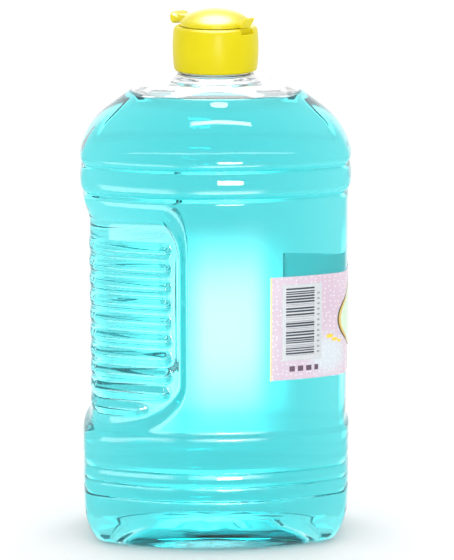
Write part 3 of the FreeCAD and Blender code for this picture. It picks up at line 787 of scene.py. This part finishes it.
# ------------------------------------------------------------------ stage, light, camera
def stage_floor():
    m, nt, bs, out = new_mat("floor_white")
    tc = nt.nodes.new("ShaderNodeTexCoord")
    nz = node(nt, "ShaderNodeTexNoise", Scale=6.0, Detail=3.0)
    nt.links.new(tc.outputs["Object"], nz.inputs["Vector"])
    ramp = nt.nodes.new("ShaderNodeValToRGB")
    ramp.color_ramp.elements[0].color = (0.95, 0.95, 0.95, 1)
    ramp.color_ramp.elements[1].color = (0.97, 0.97, 0.97, 1)
    nt.links.new(nz.outputs["Fac"], ramp.inputs["Fac"])
    nt.links.new(ramp.outputs["Color"], bs.inputs["Base Color"])
    bs.inputs["Roughness"].default_value = 0.9
    bs.inputs["Specular IOR Level"].default_value = 0.0
    me = bpy.data.meshes.new("floor")
    s = 6.0
    me.from_pydata([(-s, -s, 0), (s, -s, 0), (s, s, 0), (-s, s, 0)], [], [(0, 1, 2, 3)])
    ob = bpy.data.objects.new("floor", me)
    me.materials.append(m)
    bpy.context.scene.collection.objects.link(ob)
    ob.location.z = CAD_BOX[0][2] - 0.00005
    return ob


stage_floor()

world = bpy.data.worlds.new("studio")
bpy.context.scene.world = world
world.use_nodes = True
wt = world.node_tree
bg = wt.nodes["Background"]
tc_ = wt.nodes.new("ShaderNodeTexCoord")
sep = wt.nodes.new("ShaderNodeSeparateXYZ")
wt.links.new(tc_.outputs["Generated"], sep.inputs["Vector"])
sky = wt.nodes.new("ShaderNodeMapRange")
sky.inputs["From Min"].default_value = 0.15
sky.inputs["From Max"].default_value = 0.75
sky.inputs["To Min"].default_value = 1.25
sky.inputs["To Max"].default_value = 1.16
wt.links.new(sep.outputs["Z"], sky.inputs["Value"])
bg.inputs["Color"].default_value = (1, 1, 1, 1)
wt.links.new(sky.outputs["Result"], bg.inputs["Strength"])


def area(name, az, el, dist, sx_, sy_, power, target=(0, 0, 0.06), color=(1, 1, 1)):
    """az: degrees to the right of the -Y direction, seen from there; el: above the horizon."""
    a, e = math.radians(az), math.radians(el)
    d = Vector((math.sin(a) * math.cos(e), -math.cos(a) * math.cos(e), math.sin(e)))
    li = bpy.data.lights.new(name, "AREA")
    li.shape = "RECTANGLE"
    li.size, li.size_y = sx_, sy_
    li.energy = power
    li.color = color
    ob = bpy.data.objects.new(name, li)
    bpy.context.scene.collection.objects.link(ob)
    loc = Vector(target) + d * dist
    ob.location = loc
    ob.rotation_euler = (Vector(target) - loc).to_track_quat("-Z", "Y").to_euler()
    ob.visible_camera = False
    return ob


CAM_AZ = -1.0
area("key_low", CAM_AZ + 8, 2, 1.0, 0.19, 0.09, 1.9).visible_glossy = False
area("key_glint", CAM_AZ + 8, 3, 1.0, 0.19, 0.20, 3.6).visible_diffuse = False
# these two only glint in the grooves and on the shoulder
area("shoulder_light", CAM_AZ + 6, 53, 1.0, 0.42, 0.07, 1.5).visible_diffuse = False
area("lamp_above", 0, 88, 0.8, 0.62, 0.20, 5.8).visible_diffuse = False
area("shoulder_band", CAM_AZ, 34, 1.0, 1.3, 0.05, 0.95).visible_diffuse = False
lid_lamp = area("lid_lamp", 180, 88, 0.125, 0.10, 0.14, 1.2, target=(0, 0, 0.134))
lid_lamp.visible_transmission = False
lid_lamp.visible_diffuse = False
sheen = area("lid_sheen", 180, 16, 1.4, 0.5, 0.22, 1.1, target=(0, 0, 0.13))
sheen.visible_transmission = False
sheen.visible_diffuse = False


def glow(name, x, y, z, w, h, peak, face=-1, flats=(0.12, 0.16)):
    """A soft upright light close to the bottle, brightest in its middle, facing along face * Y."""
    li = bpy.data.lights.new(name, "AREA")
    li.shape = "RECTANGLE"
    li.size, li.size_y = w * MM, h * MM
    li.energy = math.pi * li.size * li.size_y
    li.use_nodes = True
    nt = li.node_tree
    em = [q for q in nt.nodes if q.type == "EMISSION"][0]
    geo = nt.nodes.new("ShaderNodeNewGeometry")
    parts = nt.nodes.new("ShaderNodeSeparateXYZ")
    nt.links.new(geo.outputs["Parametric"], parts.inputs["Vector"])
    falls = []
    for axis, flat in zip("XY", flats):
        off = node(nt, "ShaderNodeMath", operation="SUBTRACT")
        nt.links.new(parts.outputs[axis], off.inputs[0])
        off.inputs[1].default_value = 0.5
        size = node(nt, "ShaderNodeMath", operation="ABSOLUTE")
        nt.links.new(off.outputs[0], size.inputs[0])
        fall = node(nt, "ShaderNodeMapRange")
        fall.interpolation_type = "SMOOTHSTEP"
        fall.inputs["From Min"].default_value = flat
        fall.inputs["From Max"].default_value = 0.5
        fall.inputs["To Min"].default_value = 1.0
        fall.inputs["To Max"].default_value = 0.0
        nt.links.new(size.outputs[0], fall.inputs["Value"])
        falls.append(fall)
    both = node(nt, "ShaderNodeMath", operation="MULTIPLY")
    nt.links.new(falls[0].outputs["Result"], both.inputs[0])
    nt.links.new(falls[1].outputs["Result"], both.inputs[1])
    level = node(nt, "ShaderNodeMath", operation="MULTIPLY")
    nt.links.new(both.outputs[0], level.inputs[0])
    level.inputs[1].default_value = peak
    nt.links.new(level.outputs[0], em.inputs["Strength"])
    ob = bpy.data.objects.new(name, li)
    bpy.context.scene.collection.objects.link(ob)
    ob.location = (x * MM, y * MM, z * MM)
    ob.rotation_euler = Vector((0, face, 0)).to_track_quat("-Z", "Y").to_euler()
    ob.visible_camera = False
    return ob


glow("glow_behind", -1.0, 48.0, 39.0, 27.0, 62.0, 3.2)
# seen as a soft pale patch in the face of the panel
for sheen_ in (glow("panel_sheen", 10.2, -77.6, 41.5, 64.0, 62.0, 10.5, face=1, flats=(0.20, 0.05)),
               glow("grip_sheen", -64.0, -77.6, 41.0, 84.0, 66.0, 5.0, face=1, flats=(0.36, 0.25))):
    sheen_.visible_diffuse = False
    sheen_.visible_transmission = False

F_PX, CAM_L, CAM_E, CAM_ZT, CAM_CX = 600.0 / (66 / 272.0), 600 * MM, 13.0, 63.3 * MM, 215.8
a, e = math.radians(CAM_AZ), math.radians(CAM_E)
fwd = Vector((-math.sin(a) * math.cos(e), math.cos(a) * math.cos(e), -math.sin(e)))
right = Vector((math.cos(a), math.sin(a), 0))
tgt = Vector((0, 0, CAM_ZT)) + right * ((227.0 - CAM_CX) * 66 / 272.0 * MM)
cam = bpy.data.cameras.new("camera")
co = bpy.data.objects.new("camera", cam)
bpy.context.scene.collection.objects.link(co)
co.location = tgt - fwd * CAM_L
co.rotation_euler = fwd.to_track_quat("-Z", "Y").to_euler()
cam.sensor_fit = "AUTO"
cam.sensor_width = 36.0
cam.lens = F_PX / 560.0 * 36.0
cam.clip_start, cam.clip_end = 0.01, 50
bpy.context.scene.camera = co
for nm_, k_ in (("max_bounces", 56), ("transmission_bounces", 56), ("transparent_max_bounces", 28), ("glossy_bounces", 40)):
    setattr(bpy.context.scene.cycles, nm_, k_)
bpy.context.scene.view_settings.view_transform = "Standard"
bpy.context.scene.view_settings.look = "None"
